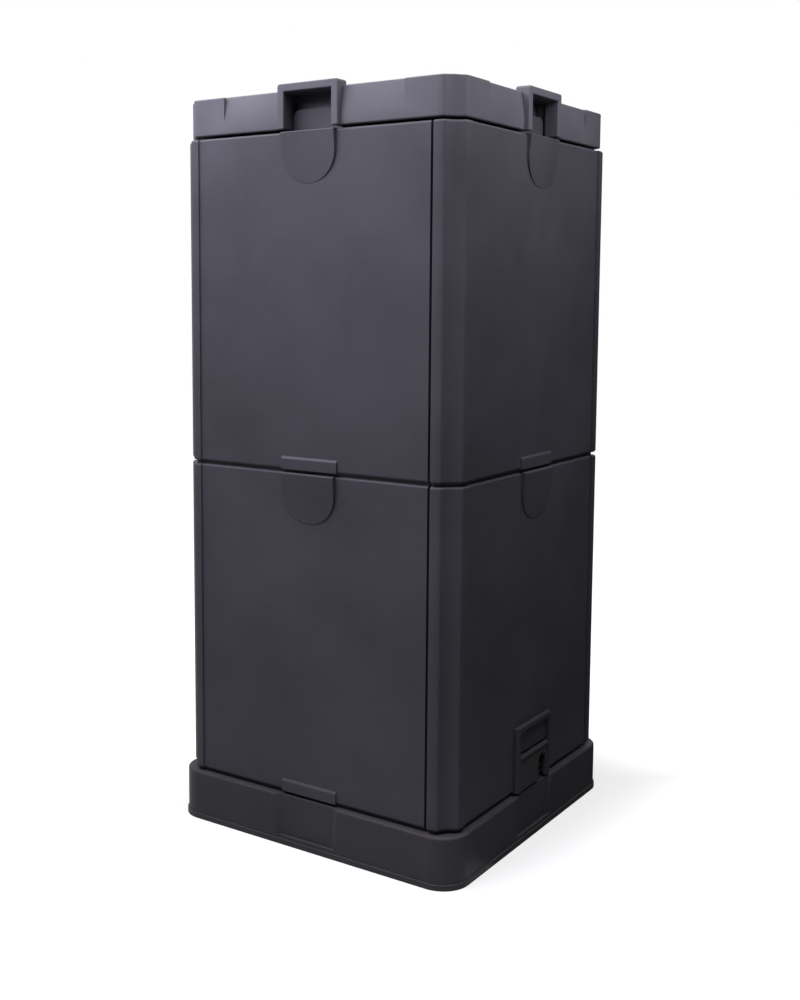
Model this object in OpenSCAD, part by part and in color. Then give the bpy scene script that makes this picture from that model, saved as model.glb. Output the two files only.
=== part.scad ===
// Hot composter: a square insulated tower of two tiers of wall panels on a leachate tray,
// with a lift-off lid, an air duct up the middle and a tap behind a small flap.
// Millimetres. The origin is at the middle of the base, on the ground, and +Z is up.
// The front faces -Y and the side with the tap faces +X.

/* [Tower] */
// Width of the tower over its corner columns
tower_w = 520; // [500:5:620]
// Height of one tier of wall panels
tier_h = 520; // [460:5:600]
// Thickness of a wall panel from its face to its liner
wall_t = 42; // [40:1:50]
// Outer radius of the corner columns
column_r = 38; // [30:1:38]
// Width of the cove down each corner, from edge to edge
cove_w = 32; // [20:2:36]
// Radius of the cove's hollow
cove_r = 40; // [30:2:60]
// Distance that the flat faces stand back from the corner columns
face_step = 2.5; // [1.5:0.5:3.5]
// Thickness of the moulded skins and liners
skin_t = 3; // [2.5:0.5:4]
// Thickness of a panel's top and bottom flanges
cap_t = 8; // [7:0.5:12]
// Height of the shadow gap under a panel
seam_h = 5; // [2:0.5:6]
// Depth of the shadow gaps
seam_d = 8; // [4:0.5:9]
// Width of the shadow groove beside a corner column
seam_w = 5; // [2:0.5:6]

/* [Panel details] */
// Width of the raised shield at the top of a panel
shield_w = 98; // [80:1:110]
// Height of the shield
shield_h = 78; // [64:1:90]
// Distance that the shield stands out from the flat face at its top
shield_d = 7.5; // [4:0.5:9]
// Distance that the shield stands out at its lower end
shield_lip = 0.5; // [0.3:0.1:2]
// Width of the pad at the bottom of a panel
tab_w = 105; // [80:1:120]
// Height of the pad above the panel's lower edge
tab_h = 25; // [16:1:32]
// Distance that the pad stands out from the flat face
tab_proud = 3; // [1:0.5:4]
// Height of the slope that ends the pad at the top
tab_slope = 5; // [2:1:10]
// Width of the tongue on top of a panel
tongue_w = 92; // [70:1:92]
// Thickness of the tongue
tongue_t = 12; // [8:1:13]
// Height of the tongue
tongue_h = 35; // [24:1:40]
// Distance from the corner column's face back to the tongue
tongue_set = 23; // [22:0.5:24]
// Radius of the tongue's upper corners
tongue_r = 12; // [4:1:14]

/* [Corner keys] */
// Depth of a corner key in each of the two panels that it joins
key_depth = 6; // [4:0.5:8]
// Width of a corner key at the joint
key_neck = 8; // [6:0.5:9]
// Width of a corner key at its two ends
key_root = 12; // [10:0.5:13]
// Distance from the corner column's face to the key's middle
key_set = 22; // [20:0.5:24]

/* [Base tray] */
// Distance that the foot stands out from the corner columns
base_proud = 10; // [10:1:24]
// Height of the base under the wall panels
base_h = 80; // [70:1:100]
// Distance that the band stands back from the foot
foot_step = 2; // [1:0.5:3]
// Height of the foot
foot_h = 9; // [6:1:14]
// Outer radius of the base's corners
base_r = 46; // [34:1:48]
// Wall thickness of the skirt and the tray
base_t = 4; // [3:0.5:5]
// Distance of the skirt's ribs from the middle of a side
rib_x = 150; // [140:2:170]
// Height of the tray's floor above the ground
sump_z = 12; // [8:1:16]
// Width of the floor of the niche in each side of the band
niche_w = 98; // [80:1:120]
// Run of the niche's sloping ends
niche_run = 14; // [6:1:20]
// Depth of the niche
niche_d = 5; // [3:0.5:6]
// Height of the niche's lower edge above the ground
niche_z = 14; // [10:1:30]
// Distance of the air ways under the base from the middle of a side
way_x = 100; // [80:2:110]
// Width of an air way
way_w = 60; // [40:2:70]
// Height of an air way through the foot
way_h = 4; // [3:0.5:6]
// Height of the draining deck above the wall panels' lower edge
deck_rise = 44; // [42:1:46]
// Height of the tray's rim above the draining deck's underside
tray_rim = 12; // [10:1:20]
// Thickness of the draining deck
deck_t = 4; // [3:0.5:6]
// Width of the ledge that carries the draining deck
ledge_w = 10; // [8:1:16]
// Thickness of the ledge
ledge_t = 6; // [4:0.5:8]
// Width of the slots in the draining deck
drain_slot_w = 6; // [4:0.5:8]
// Length of the slots in the draining deck
drain_slot_l = 50; // [40:1:54]
// Spacing of the slots in the draining deck
drain_slot_pitch = 36; // [30:1:38]

/* [Air duct] */
// Outer width of the square air duct
duct_w = 90; // [70:1:110]
// Wall thickness of the duct
duct_t = 3; // [2.5:0.5:4]
// Distance of the duct's top below the top of the wall panels
duct_room = 119; // [50:1:200]
// Height of the duct's foot above the draining deck
duct_foot_h = 33; // [26:1:60]
// Height of the spigots that join the sections
spigot_h = 15; // [10:1:20]
// Width of the flange at the foot of the duct
duct_flange_w = 130; // [120:1:150]
// Height of the air slots
air_slot_h = 5; // [3:0.5:7]
// Width of the air slots
air_slot_w = 60; // [40:1:60]
// Spacing of the air slots up the duct
air_slot_pitch = 36; // [28:1:48]
// Thickness of the duct's cap
duct_cap_t = 5; // [3:0.5:6]
// Width of the slots in the insect grille
grille_slot_w = 2.4; // [1.5:0.1:3]
// Spacing of the slots in the insect grille
grille_pitch = 5; // [4:0.5:6]

/* [Lid] */
// Distance that the lid's sides stand back from the corner columns
lid_inset = 4; // [0:0.5:8]
// Height of the lid's edge
lid_h = 58; // [54:1:70]
// Outer radius of the lid's corners
lid_r = 36; // [20:1:40]
// Wall thickness of the lid
lid_t = 3.5; // [3:0.5:5]
// Rise of the lid's top above its edge
crown_h = 8; // [4:1:10]
// Run of the slope from the lid's edge to its flat top
crown_run = 120; // [80:5:160]
// Half the width of the leaning middle of each side of the lid
lean_half = 167; // [140:1:180]
// Distance that the leaning middle stands back at the lid's top
lean_d = 7; // [4:0.5:8]
// Height above the lid's lower edge where the lean starts
lean_z = 20; // [12:1:26]
// Depth that the lid's liner reaches into the tower
plug_h = 14; // [10:1:24]
// Thickness of the lid seal
seal_t = 4; // [1.5:0.5:6]
// Width of the lid seal
seal_w = 4; // [3:0.5:4.5]

/* [Lid handles] */
// Width of a handle frame
handle_w = 112; // [108:1:124]
// Width of a handle frame's posts
post_w = 12; // [8:1:13]
// Thickness of a handle frame's top bar
bar_t = 12; // [9:1:14]
// Distance that a handle stands out from the lid's side
handle_proud = 8; // [5:0.5:9]
// Depth of a handle frame, front to back
handle_d = 24; // [18:1:24]
// Rise of a handle frame above the lid's edge
handle_rise = 9; // [9:0.5:14]

/* [Tap and flap] */
// Width of the tap's hood
hood_w = 120; // [112:1:130]
// Height of the hood's top above the base
hood_h = 110; // [104:1:120]
// Distance that the hood stands out from the flat face
hood_d = 9; // [8:0.5:9.5]
// Width of the hood's side rails
rail_w = 10; // [8:1:11]
// Height of the hood's top lip
lip_h = 7; // [5:1:10]
// Width of the recess behind the flap
alcove_w = 94; // [80:1:94]
// Height of the recess behind the flap
alcove_h = 58; // [56:1:60]
// Height of the recess's sill above the base
sill_h = 4.5; // [4:0.5:6]
// Height of the flap's hinge above the base
hinge_h = 58; // [57:1:60]
// Radius of the flap's hinge pin
pin_r = 2; // [1.5:0.25:2.25]
// Gap between the flap's hinge barrel and the panel's face
barrel_gap = 0.5; // [0.3:0.1:0.6]
// Radius of the flap's hinge barrel
barrel_r = 4.5; // [4:0.25:4.5]
// Thickness of the flap
flap_t = 5; // [4:0.5:5.5]
// Width of the slot in the flap
flap_slot_w = 26; // [22:1:28]
// Height of the slot in the flap above the base
flap_slot_h = 46; // [38:1:46]
// Distance of the tap from the middle of the side
tap_y = 30; // [20:1:30]
// Height of the tap above the base
tap_h = 20; // [19:1:21]
// Radius of the tap's threaded stem
stem_r = 11; // [9:0.5:12]
// Radius of the tap's flange
tap_flange_r = 15; // [14.5:0.5:15]
// Radius of the tap's barrel
tap_barrel_r = 10; // [9:0.5:11]
// Radius of the tap's plug
plug_r = 6; // [4:0.5:6.5]
// Radius of the hose spout
spout_r = 7; // [5:0.5:8]
// Length of the tap's lever
lever_l = 26; // [20:1:26]
// Thickness of the tap's washer
washer_t = 2; // [1.5:0.5:3]
// Thickness of the tap's nut
nut_t = 10; // [7:1:12]

/* [Fits] */
// Gap between pieces that slot together
slot_gap = 0.5; // [0.3:0.1:0.8]
// Gap round the foam cores
core_gap = 0.3; // [0.2:0.1:0.5]
// Running gap of the hinge pin and the tap's plug
run_gap = 0.05; // [0.02:0.01:0.08]
// Gap between the tongues and the lid
lift_gap = 2; // [1.5:0.5:2.5]

/* [Hidden] */
$fn = 64;
half = tower_w / 2;
tower_z = base_h + 2 * tier_h;
face_y = -half + face_step;
inner = half - wall_t;
liner_y = -inner - skin_t;
panel_end = inner - slot_gap;
lid_z = tower_z + seal_t;
lid_edge_z = lid_z + lid_h;
lid_half = half - lid_inset;
lid_w = 2 * lid_half;
lid_top_z = lid_edge_z + crown_h;
handle_y = lid_half + handle_proud;
handle_back = handle_y - handle_d;
pocket_w = tongue_w + 2 * lift_gap;
pocket_y = half - tongue_set - tongue_t - lift_gap;
handle_open = handle_w - 2 * post_w;
base_w = tower_w + 2 * base_proud;
band_w = base_w - 2 * foot_step;
band_r = base_r - foot_step;
niche_y = -band_w / 2 + niche_d;
tray_half = inner - slot_gap;
tray_in = tray_half - base_t;
deck_z = base_h + deck_rise;
deck_top = deck_z + deck_t;
tray_h = deck_z + tray_rim;
duct_in = duct_w - 2 * duct_t;
spigot_w = duct_in - 2 * core_gap;
spigot_in = spigot_w - 2 * duct_t;
duct_z = deck_top + duct_foot_h;
duct_h = (tower_z - duct_room - duct_z) / 2;
tap_z = base_h + tap_h;
nut_x = tray_in - nut_t;
tap_flange_t = 4;
tap_flange_x = inner + skin_t + washer_t;
tap_x = tap_flange_x + tap_flange_t + lever_l / 2 + 1;
collar_x = tap_x + tap_barrel_r + 1;
spout_x = half + 3;
flap_x = half - face_step + barrel_gap + barrel_r - flap_t / 2;
hinge_x = flap_x + flap_t / 2;
hinge_z = base_h + hinge_h;
flap_w = hood_w - 2 * rail_w - 2 * slot_gap;
flap_z = base_h + sill_h;
plate_z = hinge_z + barrel_r + 3;
SIDES = ["front", "right", "back", "left"];
TIERS = ["lower", "upper"];
SKIN = "#38363c";
LINER = "#2b2a2d";
FOAM = "#e6e2d6";
TRAY = "#343237";
LID = "#3c3a41";
DUCT = "#232326";
RUBBER = "#151515";

// A box given by its two corners
module block(low, high) {
    translate(low) cube(high - low);
}

// A square of width w with corners of radius r, centred
module round_square(w, r) {
    square([w - 2 * r, w], center = true);
    square([w, w - 2 * r], center = true);
    for (x = [-1, 1], y = [-1, 1])
        translate([x * (w / 2 - r), y * (w / 2 - r)]) circle(r);
}

module round_block(w, r, z0, z1) {
    translate([0, 0, z0]) linear_extrude(z1 - z0) round_square(w, r);
}

module square_block(w, z0, z1) {
    translate([-w / 2, -w / 2, z0]) cube([w, w, z1 - z0]);
}

// Turns a piece drawn at the front to the side it belongs to
module at_side(i) {
    rotate([0, 0, 90 * i]) children();
}

// The hollow that is cut down a corner rounded to radius r, h from the middle, grown by gap
module cove(h, r, gap) {
    reach = sqrt(pow(r, 2) - pow(cove_w / 2, 2)) + sqrt(pow(cove_r, 2) - pow(cove_w / 2, 2));
    place = -h + r - reach / sqrt(2);
    translate([place, place]) circle(cove_r + gap);
}

// Plan of a square with a cove down each rounded corner; inset moves its faces in
module coved_square(h, r, inset) {
    difference() {
        round_square(2 * (h - inset), r - inset);
        for (i = [0:3]) at_side(i) cove(h, r, inset);
    }
}

// Plan of a corner column, its outer corner rounded and coved; inset moves its faces in
module column_plan(inset) {
    r = column_r - inset;
    low = -half + inset;
    high = -inner - inset;
    difference() {
        union() {
            translate([low + r, low]) square([high - low - r, high - low]);
            translate([low, low + r]) square([high - low, high - low - r]);
            intersection() {
                translate([low + r, low + r]) circle(r);
                translate([low, low]) square([r, r]);
            }
        }
        cove(half, column_r, inset);
    }
}

// Plan of a dovetail that runs from the joint, x = 0, to x = depth, grown by gap
module dovetail(gap) {
    polygon([
        [-0.01, -key_neck / 2 - gap], [key_depth + gap, -key_root / 2 - gap],
        [key_depth + gap, key_root / 2 + gap], [-0.01, key_neck / 2 + gap]
    ]);
}

// Plan of the two key grooves of a front panel, grown by gap
module key_grooves(gap) {
    translate([panel_end, -half + key_set]) mirror([1, 0]) dovetail(gap);
    translate([-half + key_set, -inner]) rotate(-90) dovetail(gap);
}

// Plan of a front panel: the corner column at its left end and the flat wall
module panel_plan() {
    difference() {
        union() {
            column_plan(0);
            translate([-inner - 1, face_y]) square([panel_end + inner + 1, wall_t - face_step]);
        }
        translate([panel_end - seam_w, face_y - 1]) square([seam_w + 1, seam_d + 1]);
        key_grooves(slot_gap / 2);
    }
}

// Plan of the space inside a front panel, its walls moved in by gap
module cavity_plan(gap) {
    inset = skin_t + gap;
    difference() {
        union() {
            column_plan(inset);
            translate([-inner - inset - 1, face_y + inset])
                square([panel_end + inner - inset - seam_w + inset + 1, wall_t - face_step - 2 * inset]);
        }
        translate([panel_end - seam_w - inset, face_y]) square([seam_w + inset, seam_d + inset]);
        translate([panel_end - inset, face_y]) square([inset + 1, wall_t]);
        key_grooves(slot_gap / 2 + inset);
    }
}

// Outline of the shield, its top edge at y = 0, its sides moved in by gap
module shield_outline(gap) {
    r = shield_w / 2;
    translate([0, -shield_h + r]) circle(r - gap);
    translate([-r + gap, -shield_h + r]) square([2 * (r - gap), shield_h - r]);
}

// The shield under a panel's upper edge z leans out, so it stands out most at its top
module shield(z, gap) {
    y = face_y + gap;
    intersection() {
        translate([0, y + 1, z]) rotate([90, 0, 0]) linear_extrude(shield_d + 2) shield_outline(gap);
        translate([-shield_w / 2, 0, z]) rotate([90, 0, 90]) linear_extrude(shield_w)
            polygon([[y + 1, -shield_h], [y - shield_lip, -shield_h], [y - shield_d, 0], [y + 1, 0]]);
    }
}

// The space behind the shield, below the cap of the skin
module shield_room(z, gap) {
    difference() {
        shield(z, skin_t + gap);
        block([-shield_w / 2, face_y - shield_d, z - cap_t - gap], [shield_w / 2, liner_y, z + 1]);
    }
}

// The tongue on top of a panel or the base, standing on z
module tongue(z) {
    w = tongue_w;
    r = tongue_r;
    translate([0, -half + tongue_set + tongue_t, z]) rotate([90, 0, 0]) linear_extrude(tongue_t) {
        translate([-w / 2, -1]) square([w, tongue_h - r + 1]);
        translate([-w / 2 + r, -1]) square([w - 2 * r, tongue_h + 1]);
        for (x = [-1, 1]) translate([x * (w / 2 - r), tongue_h - r]) circle(r);
    }
}

// The pocket in a panel's foot that takes the tongue below it, grown by gap
module tongue_pocket(z, gap) {
    block([-tongue_w / 2 - gap, -half + tongue_set - gap, z - 1],
          [tongue_w / 2 + gap, -half + tongue_set + tongue_t + gap, z + tongue_h + gap]);
}

// The pad at the foot of a panel, with a sloping upper edge
module tab(z) {
    translate([-tab_w / 2, 0, z]) rotate([90, 0, 90]) linear_extrude(tab_w)
        polygon([
            [face_y + 0.5, seam_h], [face_y - tab_proud, seam_h],
            [face_y - tab_proud, tab_h - tab_slope], [face_y, tab_h], [face_y + 0.5, tab_h]
        ]);
}

// The recess for the tap in the lower right panel, grown by gap
module alcove(gap) {
    block([-alcove_w / 2 - gap, face_y - 1, flap_z - gap],
          [alcove_w / 2 + gap, liner_y, flap_z + alcove_h + gap]);
}

// The outer skin of a front panel on z; the panel with the tap has has_tap set
module front_skin(z, has_tap) {
    color(SKIN) difference() {
        union() {
            difference() {
                union() {
                    translate([0, 0, z]) linear_extrude(tier_h) panel_plan();
                    shield(z + tier_h, 0);
                }
                translate([0, 0, z + cap_t]) linear_extrude(tier_h - 2 * cap_t) {
                    cavity_plan(0);
                    translate([-inner - skin_t, liner_y - 0.01])
                        square([panel_end + inner, skin_t + 1]);
                }
                shield_room(z + tier_h, 0);
            }
            tongue(z + tier_h);
            if (!has_tap) tab(z);
            if (has_tap) intersection() {
                alcove(skin_t);
                block([-inner, face_y, z], [inner, liner_y, z + tier_h]);
            }
        }
        difference() {
            translate([0, 0, z - 1]) linear_extrude(seam_h + 1) square(tower_w + 2, center = true);
            translate([0, 0, z - 2]) linear_extrude(seam_h + 3) coved_square(half, column_r, seam_d);
        }
        if (!has_tap) tongue_pocket(z, slot_gap);
        if (has_tap) alcove(0);
    }
}

// The foam that fills a front panel
module front_core(z, has_tap) {
    color(FOAM) difference() {
        union() {
            translate([0, 0, z + cap_t + core_gap])
                linear_extrude(tier_h - 2 * cap_t - 2 * core_gap) cavity_plan(core_gap);
            shield_room(z + tier_h, core_gap);
        }
        if (!has_tap) tongue_pocket(z, slot_gap);
        if (has_tap) alcove(skin_t + core_gap);
    }
}

// The smooth inner skin of a front panel
module front_liner(z, has_tap) {
    color(LINER) difference() {
        block([-inner - skin_t, liner_y, z + cap_t], [panel_end - skin_t, -inner, z + tier_h - cap_t]);
        if (has_tap) translate([tap_y, -half, tap_z]) rotate([-90, 0, 0])
            cylinder(wall_t + 1, r = stem_r + slot_gap);
    }
}

// The four double dovetails that lock the corners of one tier
module corner_keys(z) {
    color(LINER) for (i = [0:3]) at_side(i) translate([inner, -half + key_set, z + cap_t])
        linear_extrude(tier_h - 2 * cap_t) {
            translate([-slot_gap, 0]) mirror([1, 0]) dovetail(0);
            translate([-slot_gap - 0.01, -key_neck / 2]) square([slot_gap + 0.02, key_neck]);
            dovetail(0);
        }
}

// The skirt under the wall panels: foot and band outside, a ring on top, open below
module base_skirt() {
    color(TRAY) difference() {
        union() {
            round_block(base_w, base_r, 0, foot_h);
            round_block(band_w, band_r, 0, base_h);
            for (i = [0, 2, 3]) at_side(i) tongue(base_h);
        }
        square_block(2 * tray_half, -1, base_h + 1);
        // The hollow under the ring, crossed by ribs and by the backs of the niches
        difference() {
            round_block(band_w - 2 * base_t, band_r - base_t, -1, base_h - base_t);
            for (i = [0:3], x = [-1, 1]) at_side(i)
                block([x * rib_x - base_t / 2, -half, -2], [x * rib_x + base_t / 2, -inner, base_h]);
            for (i = [0:3]) at_side(i)
                block([-niche_w / 2 - niche_run - base_t, -half - base_proud, -2],
                      [niche_w / 2 + niche_run + base_t, niche_y + base_t, base_h]);
        }
        for (i = [0:3]) at_side(i) niche();
        // The ways for air under the foot, at the back and on the left
        for (i = [2, 3], x = [-1, 1]) at_side(i)
            block([x * way_x - way_w / 2, -base_w / 2 - 1, -1], [x * way_x + way_w / 2, -inner, way_h]);
    }
}

// The shallow niche in a side of the band, open at the top, its ends sloping
module niche() {
    out = niche_w / 2 + niche_run * (niche_d + 1) / niche_d;
    translate([0, 0, niche_z]) linear_extrude(base_h) polygon([
        [-out, niche_y - niche_d - 1], [-niche_w / 2, niche_y],
        [niche_w / 2, niche_y], [out, niche_y - niche_d - 1]
    ]);
}

// The leachate tray inside the skirt, an open box with the chimney's hole in its floor
module base_tray() {
    color(TRAY) difference() {
        square_block(2 * tray_half, sump_z, tray_h);
        square_block(2 * tray_in, sump_z + base_t, tray_h + 1);
        square_block(duct_in, 0, deck_z);
        translate([0, tap_y, tap_z]) rotate([0, 90, 0]) cylinder(half, r = stem_r + slot_gap);
    }
}

// The tray stands on its wall's feet, with the ways for air between them
module tray_feet() {
    color(TRAY) difference() {
        square_block(2 * tray_half, 0, sump_z);
        square_block(2 * tray_in, -1, sump_z + 1);
        for (i = [0:3], x = [-1, 1]) at_side(i)
            block([x * way_x - way_w / 2, -inner, -1], [x * way_x + way_w / 2, -tray_in + 1, sump_z + 1]);
    }
}

// The ledge round the inside of the tray's wall that carries the deck
module deck_ledge() {
    color(TRAY) difference() {
        square_block(2 * tray_in, deck_z - ledge_t, deck_z);
        square_block(2 * (tray_in - ledge_w), deck_z - ledge_t - 1, deck_z + 1);
    }
}

// The square pipe on the tray's floor that leads air up through the deck
module air_chimney() {
    color(TRAY) difference() {
        square_block(duct_w, sump_z + base_t, deck_top);
        square_block(duct_in, 0, deck_top + 1);
    }
}

// The slotted deck that carries the compost over the sump
module draining_deck() {
    row_y = duct_w / 2 + slot_gap + drain_slot_l / 2 + 2 * ledge_w;
    row_pitch = drain_slot_l + 1.5 * ledge_w;
    column_x = duct_w / 2 + drain_slot_pitch;
    color(LINER) difference() {
        square_block(2 * (tray_in - slot_gap), deck_z, deck_top);
        square_block(duct_w + 2 * slot_gap, deck_z - 1, deck_top + 1);
        for (x = [-5:5], y = [-1, 1], k = [0, 1])
            drain_slot(x * drain_slot_pitch, y * (row_y + k * row_pitch));
        for (x = [-1, 1], k = [0:3])
            drain_slot(x * (column_x + k * drain_slot_pitch), 0);
    }
}

module drain_slot(x, y) {
    translate([x - drain_slot_w / 2, y - drain_slot_l / 2, deck_z - 1])
        cube([drain_slot_w, drain_slot_l, deck_t + 2]);
}

// The insect grille in the chimney, just under the duct
module air_grille() {
    w = duct_in - 2 * core_gap;
    z = deck_top - 2 * duct_t;
    slots = floor((w / 2 - grille_pitch) / grille_pitch);
    color(DUCT) difference() {
        square_block(w, z, z + duct_t);
        for (k = [-slots:slots]) translate([k * grille_pitch - grille_slot_w / 2, -w / 2 + base_t, z - 1])
            cube([grille_slot_w, w - 2 * base_t, duct_t + 2]);
    }
}

// A square tube with a narrower spigot on top
module duct_tube(z, h, spigot) {
    difference() {
        union() {
            square_block(duct_w, z, z + h);
            if (spigot) square_block(spigot_w, z, z + h + spigot_h);
        }
        square_block(duct_in, z - 1, z + h - (spigot ? duct_t : -1));
        square_block(spigot_in, z - 1, z + h + spigot_h + 1);
    }
}

// Rows of air slots through all four walls of a duct section
module air_slots(z, h) {
    rows = floor((h - spigot_h) / air_slot_pitch) - 1;
    for (k = [1:rows], a = [0, 90]) rotate([0, 0, a])
        translate([-air_slot_w / 2, -duct_w, z + spigot_h + k * air_slot_pitch - air_slot_h])
            cube([air_slot_w, 2 * duct_w, air_slot_h]);
}

module duct_foot() {
    color(DUCT) {
        duct_tube(deck_top, duct_foot_h, true);
        difference() {
            square_block(duct_flange_w, deck_top, deck_top + duct_t);
            square_block(duct_w - 1, deck_top - 1, deck_top + duct_t + 1);
        }
    }
}

module lower_duct() {
    color(DUCT) difference() {
        duct_tube(duct_z, duct_h, true);
        air_slots(duct_z, duct_h);
    }
}

module upper_duct() {
    color(DUCT) difference() {
        duct_tube(duct_z + duct_h, duct_h, false);
        air_slots(duct_z + duct_h, duct_h);
    }
}

module duct_cap() {
    z = duct_z + 2 * duct_h;
    color(DUCT) difference() {
        union() {
            square_block(duct_w + 4, z, z + duct_cap_t);
            square_block(spigot_w, z - spigot_h, z + 1);
        }
        square_block(spigot_in, z - spigot_h - 1, z);
    }
}

// A slice of the lid's outer form; inset moves its walls in
module lid_block(inset, z0, z1) {
    translate([0, 0, z0]) linear_extrude(z1 - z0) coved_square(lid_half, lid_r, inset);
}

// The lid's form: a coved block whose top slopes up to a flat middle
module lid_form(inset, z0, drop) {
    top = lid_top_z - drop;
    slope = atan(crown_h / crown_run);
    difference() {
        lid_block(inset, z0, top);
        for (i = [0:3]) at_side(i)
            translate([-lid_w, -lid_half, top - crown_h]) rotate([slope, 0, 0])
                translate([0, -lid_half, 0]) cube([2 * lid_w, lid_w, lid_h]);
    }
}

// The wedge cut from a side of the lid so that its middle leans in
module lean_cut() {
    rise = lid_h - lean_z + crown_h;
    translate([-lean_half, -lid_half, lid_z + lean_z]) rotate([-atan(lean_d / rise), 0, 0])
        translate([0, -lid_h, 0]) cube([2 * lean_half, lid_h, 2 * rise]);
}

// The opening in a side of the lid that the tongue and the hand go into, grown by gap
module lid_pocket(gap) {
    block([-pocket_w / 2 - gap, -handle_y - 1, lid_z - 1],
          [pocket_w / 2 + gap, -pocket_y + gap, lid_edge_z - lid_t + gap]);
}

// The seat of a handle frame in the side of the lid
module handle_seat(gap) {
    block([-handle_w / 2 - gap, -handle_y - 1, lid_z - 1],
          [handle_w / 2 + gap, -handle_back + gap, lid_top_z + handle_rise]);
}

// The thick band of wall behind the leaning middle of a side of the lid
module lean_wall() {
    block([-lean_half - lid_t, -lid_half, lid_z], [lean_half + lid_t, -lid_half + lean_d + lid_t, lid_top_z]);
}

module lid_shell() {
    color(LID) difference() {
        lid_form(0, lid_z, 0);
        difference() {
            lid_form(lid_t, lid_z - 1, lid_t);
            for (i = [0:3]) at_side(i) lean_wall();
        }
        for (i = [0:3]) at_side(i) {
            lean_cut();
            lid_pocket(0);
            handle_seat(core_gap);
        }
        lid_block(lid_t, lid_z - 1, lid_z + skin_t);
    }
}

// The walls and the roof of a pocket, moulded on the inside of the lid
module pocket_walls() {
    color(LID) difference() {
        intersection() {
            lid_form(lid_t, lid_z + skin_t, lid_t);
            union() {
                lid_pocket(lid_t);
                handle_seat(core_gap + lid_t);
            }
        }
        lean_wall();
        lid_pocket(0);
        handle_seat(core_gap);
    }
}

module lid_core() {
    edge = inner - 2 * lift_gap - skin_t - core_gap;
    color(FOAM) intersection() {
        square_block(2 * edge, lid_z - plug_h + core_gap, lid_top_z);
        lid_form(lid_t + core_gap, lid_z - plug_h, lid_t + core_gap);
    }
}

// The underside of the lid: a flange behind the lid's edge and a plug that enters the tower
module lid_liner() {
    plug = inner - 2 * lift_gap;
    color(LINER) difference() {
        union() {
            lid_block(lid_t + core_gap, lid_z, lid_z + skin_t);
            square_block(2 * plug, lid_z - plug_h - skin_t, lid_z + skin_t);
        }
        square_block(2 * (plug - skin_t), lid_z - plug_h, lid_z + skin_t + 1);
        for (i = [0:3]) at_side(i) {
            lid_pocket(0);
            handle_seat(core_gap);
        }
    }
}

module lid_seal() {
    low = inner + 0.5;
    color(RUBBER) difference() {
        square_block(2 * (low + seal_w), tower_z, lid_z);
        square_block(2 * low, tower_z - 1, lid_z + 1);
    }
}

// A handle frame: two posts and a bar, open below
module handle() {
    h = lid_h + handle_rise;
    r = 4;
    color(LID) translate([0, -handle_back, lid_z]) rotate([90, 0, 0]) linear_extrude(handle_d)
        difference() {
            union() {
                translate([-handle_w / 2, 0]) square([handle_w, h - r]);
                translate([-handle_w / 2 + r, 0]) square([handle_w - 2 * r, h]);
                for (x = [-1, 1]) translate([x * (handle_w / 2 - r), h - r]) circle(r);
            }
            translate([-handle_open / 2, -1]) square([handle_open, h - bar_t + 1]);
        }
}

// A round bar along +X from x0 to x1
module bar_x(x0, x1, r) {
    translate([x0, 0, 0]) rotate([0, 90, 0]) cylinder(x1 - x0, r = r);
}

// The drum tap: a threaded stem through the tray, an upright barrel and a hose spout
module tap_body() {
    color(RUBBER) translate([0, tap_y, tap_z]) difference() {
        union() {
            bar_x(nut_x - 3, tap_flange_x + 1, stem_r);
            bar_x(tap_flange_x, tap_flange_x + tap_flange_t, tap_flange_r);
            bar_x(tap_flange_x, collar_x, spout_r + 1.5);
            bar_x(tap_x, spout_x, spout_r);
            translate([tap_x, 0, -tap_barrel_r - 1]) cylinder(2 * tap_barrel_r + 2, r = tap_barrel_r);
        }
        translate([tap_x, 0, -tap_barrel_r + 3]) cylinder(2 * tap_barrel_r, r = plug_r + run_gap);
        bar_x(tap_x + tap_barrel_r - 2, spout_x + 1, spout_r - 2.5);
        bar_x(nut_x - 4, tap_flange_x, stem_r - 4);
    }
}

module tap_washer() {
    color("#5a1f1c") translate([inner + skin_t, tap_y, tap_z]) rotate([0, 90, 0]) difference() {
        cylinder(washer_t, r = tap_flange_r);
        translate([0, 0, -1]) cylinder(washer_t + 2, r = stem_r + run_gap);
    }
}

module tap_nut() {
    color(RUBBER) translate([nut_x, tap_y, tap_z]) rotate([0, 90, 0]) difference() {
        cylinder(nut_t, r = stem_r + 4, $fn = 6);
        translate([0, 0, -1]) cylinder(nut_t + 2, r = stem_r + run_gap);
    }
}

// The tap's plug with its butterfly lever, shut when it lies across the spout
module tap_lever() {
    top = tap_barrel_r + 1;
    color("#262527") translate([tap_x, tap_y, tap_z]) {
        translate([0, 0, -tap_barrel_r + 3.5]) cylinder(top + tap_barrel_r, r = plug_r);
        translate([0, 0, top + 0.5]) cylinder(4, r = plug_r + 2);
        translate([-3, -lever_l / 2, top + 1]) cube([6, lever_l, 9]);
    }
}

// Side profile of the hood's rails: square to the face, with a slope on the outside
module rail_plan() {
    polygon([[0, 0], [rail_w, 0], [rail_w, hood_d], [hood_d / 2, hood_d], [0, hood_d / 2]]);
}

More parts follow.
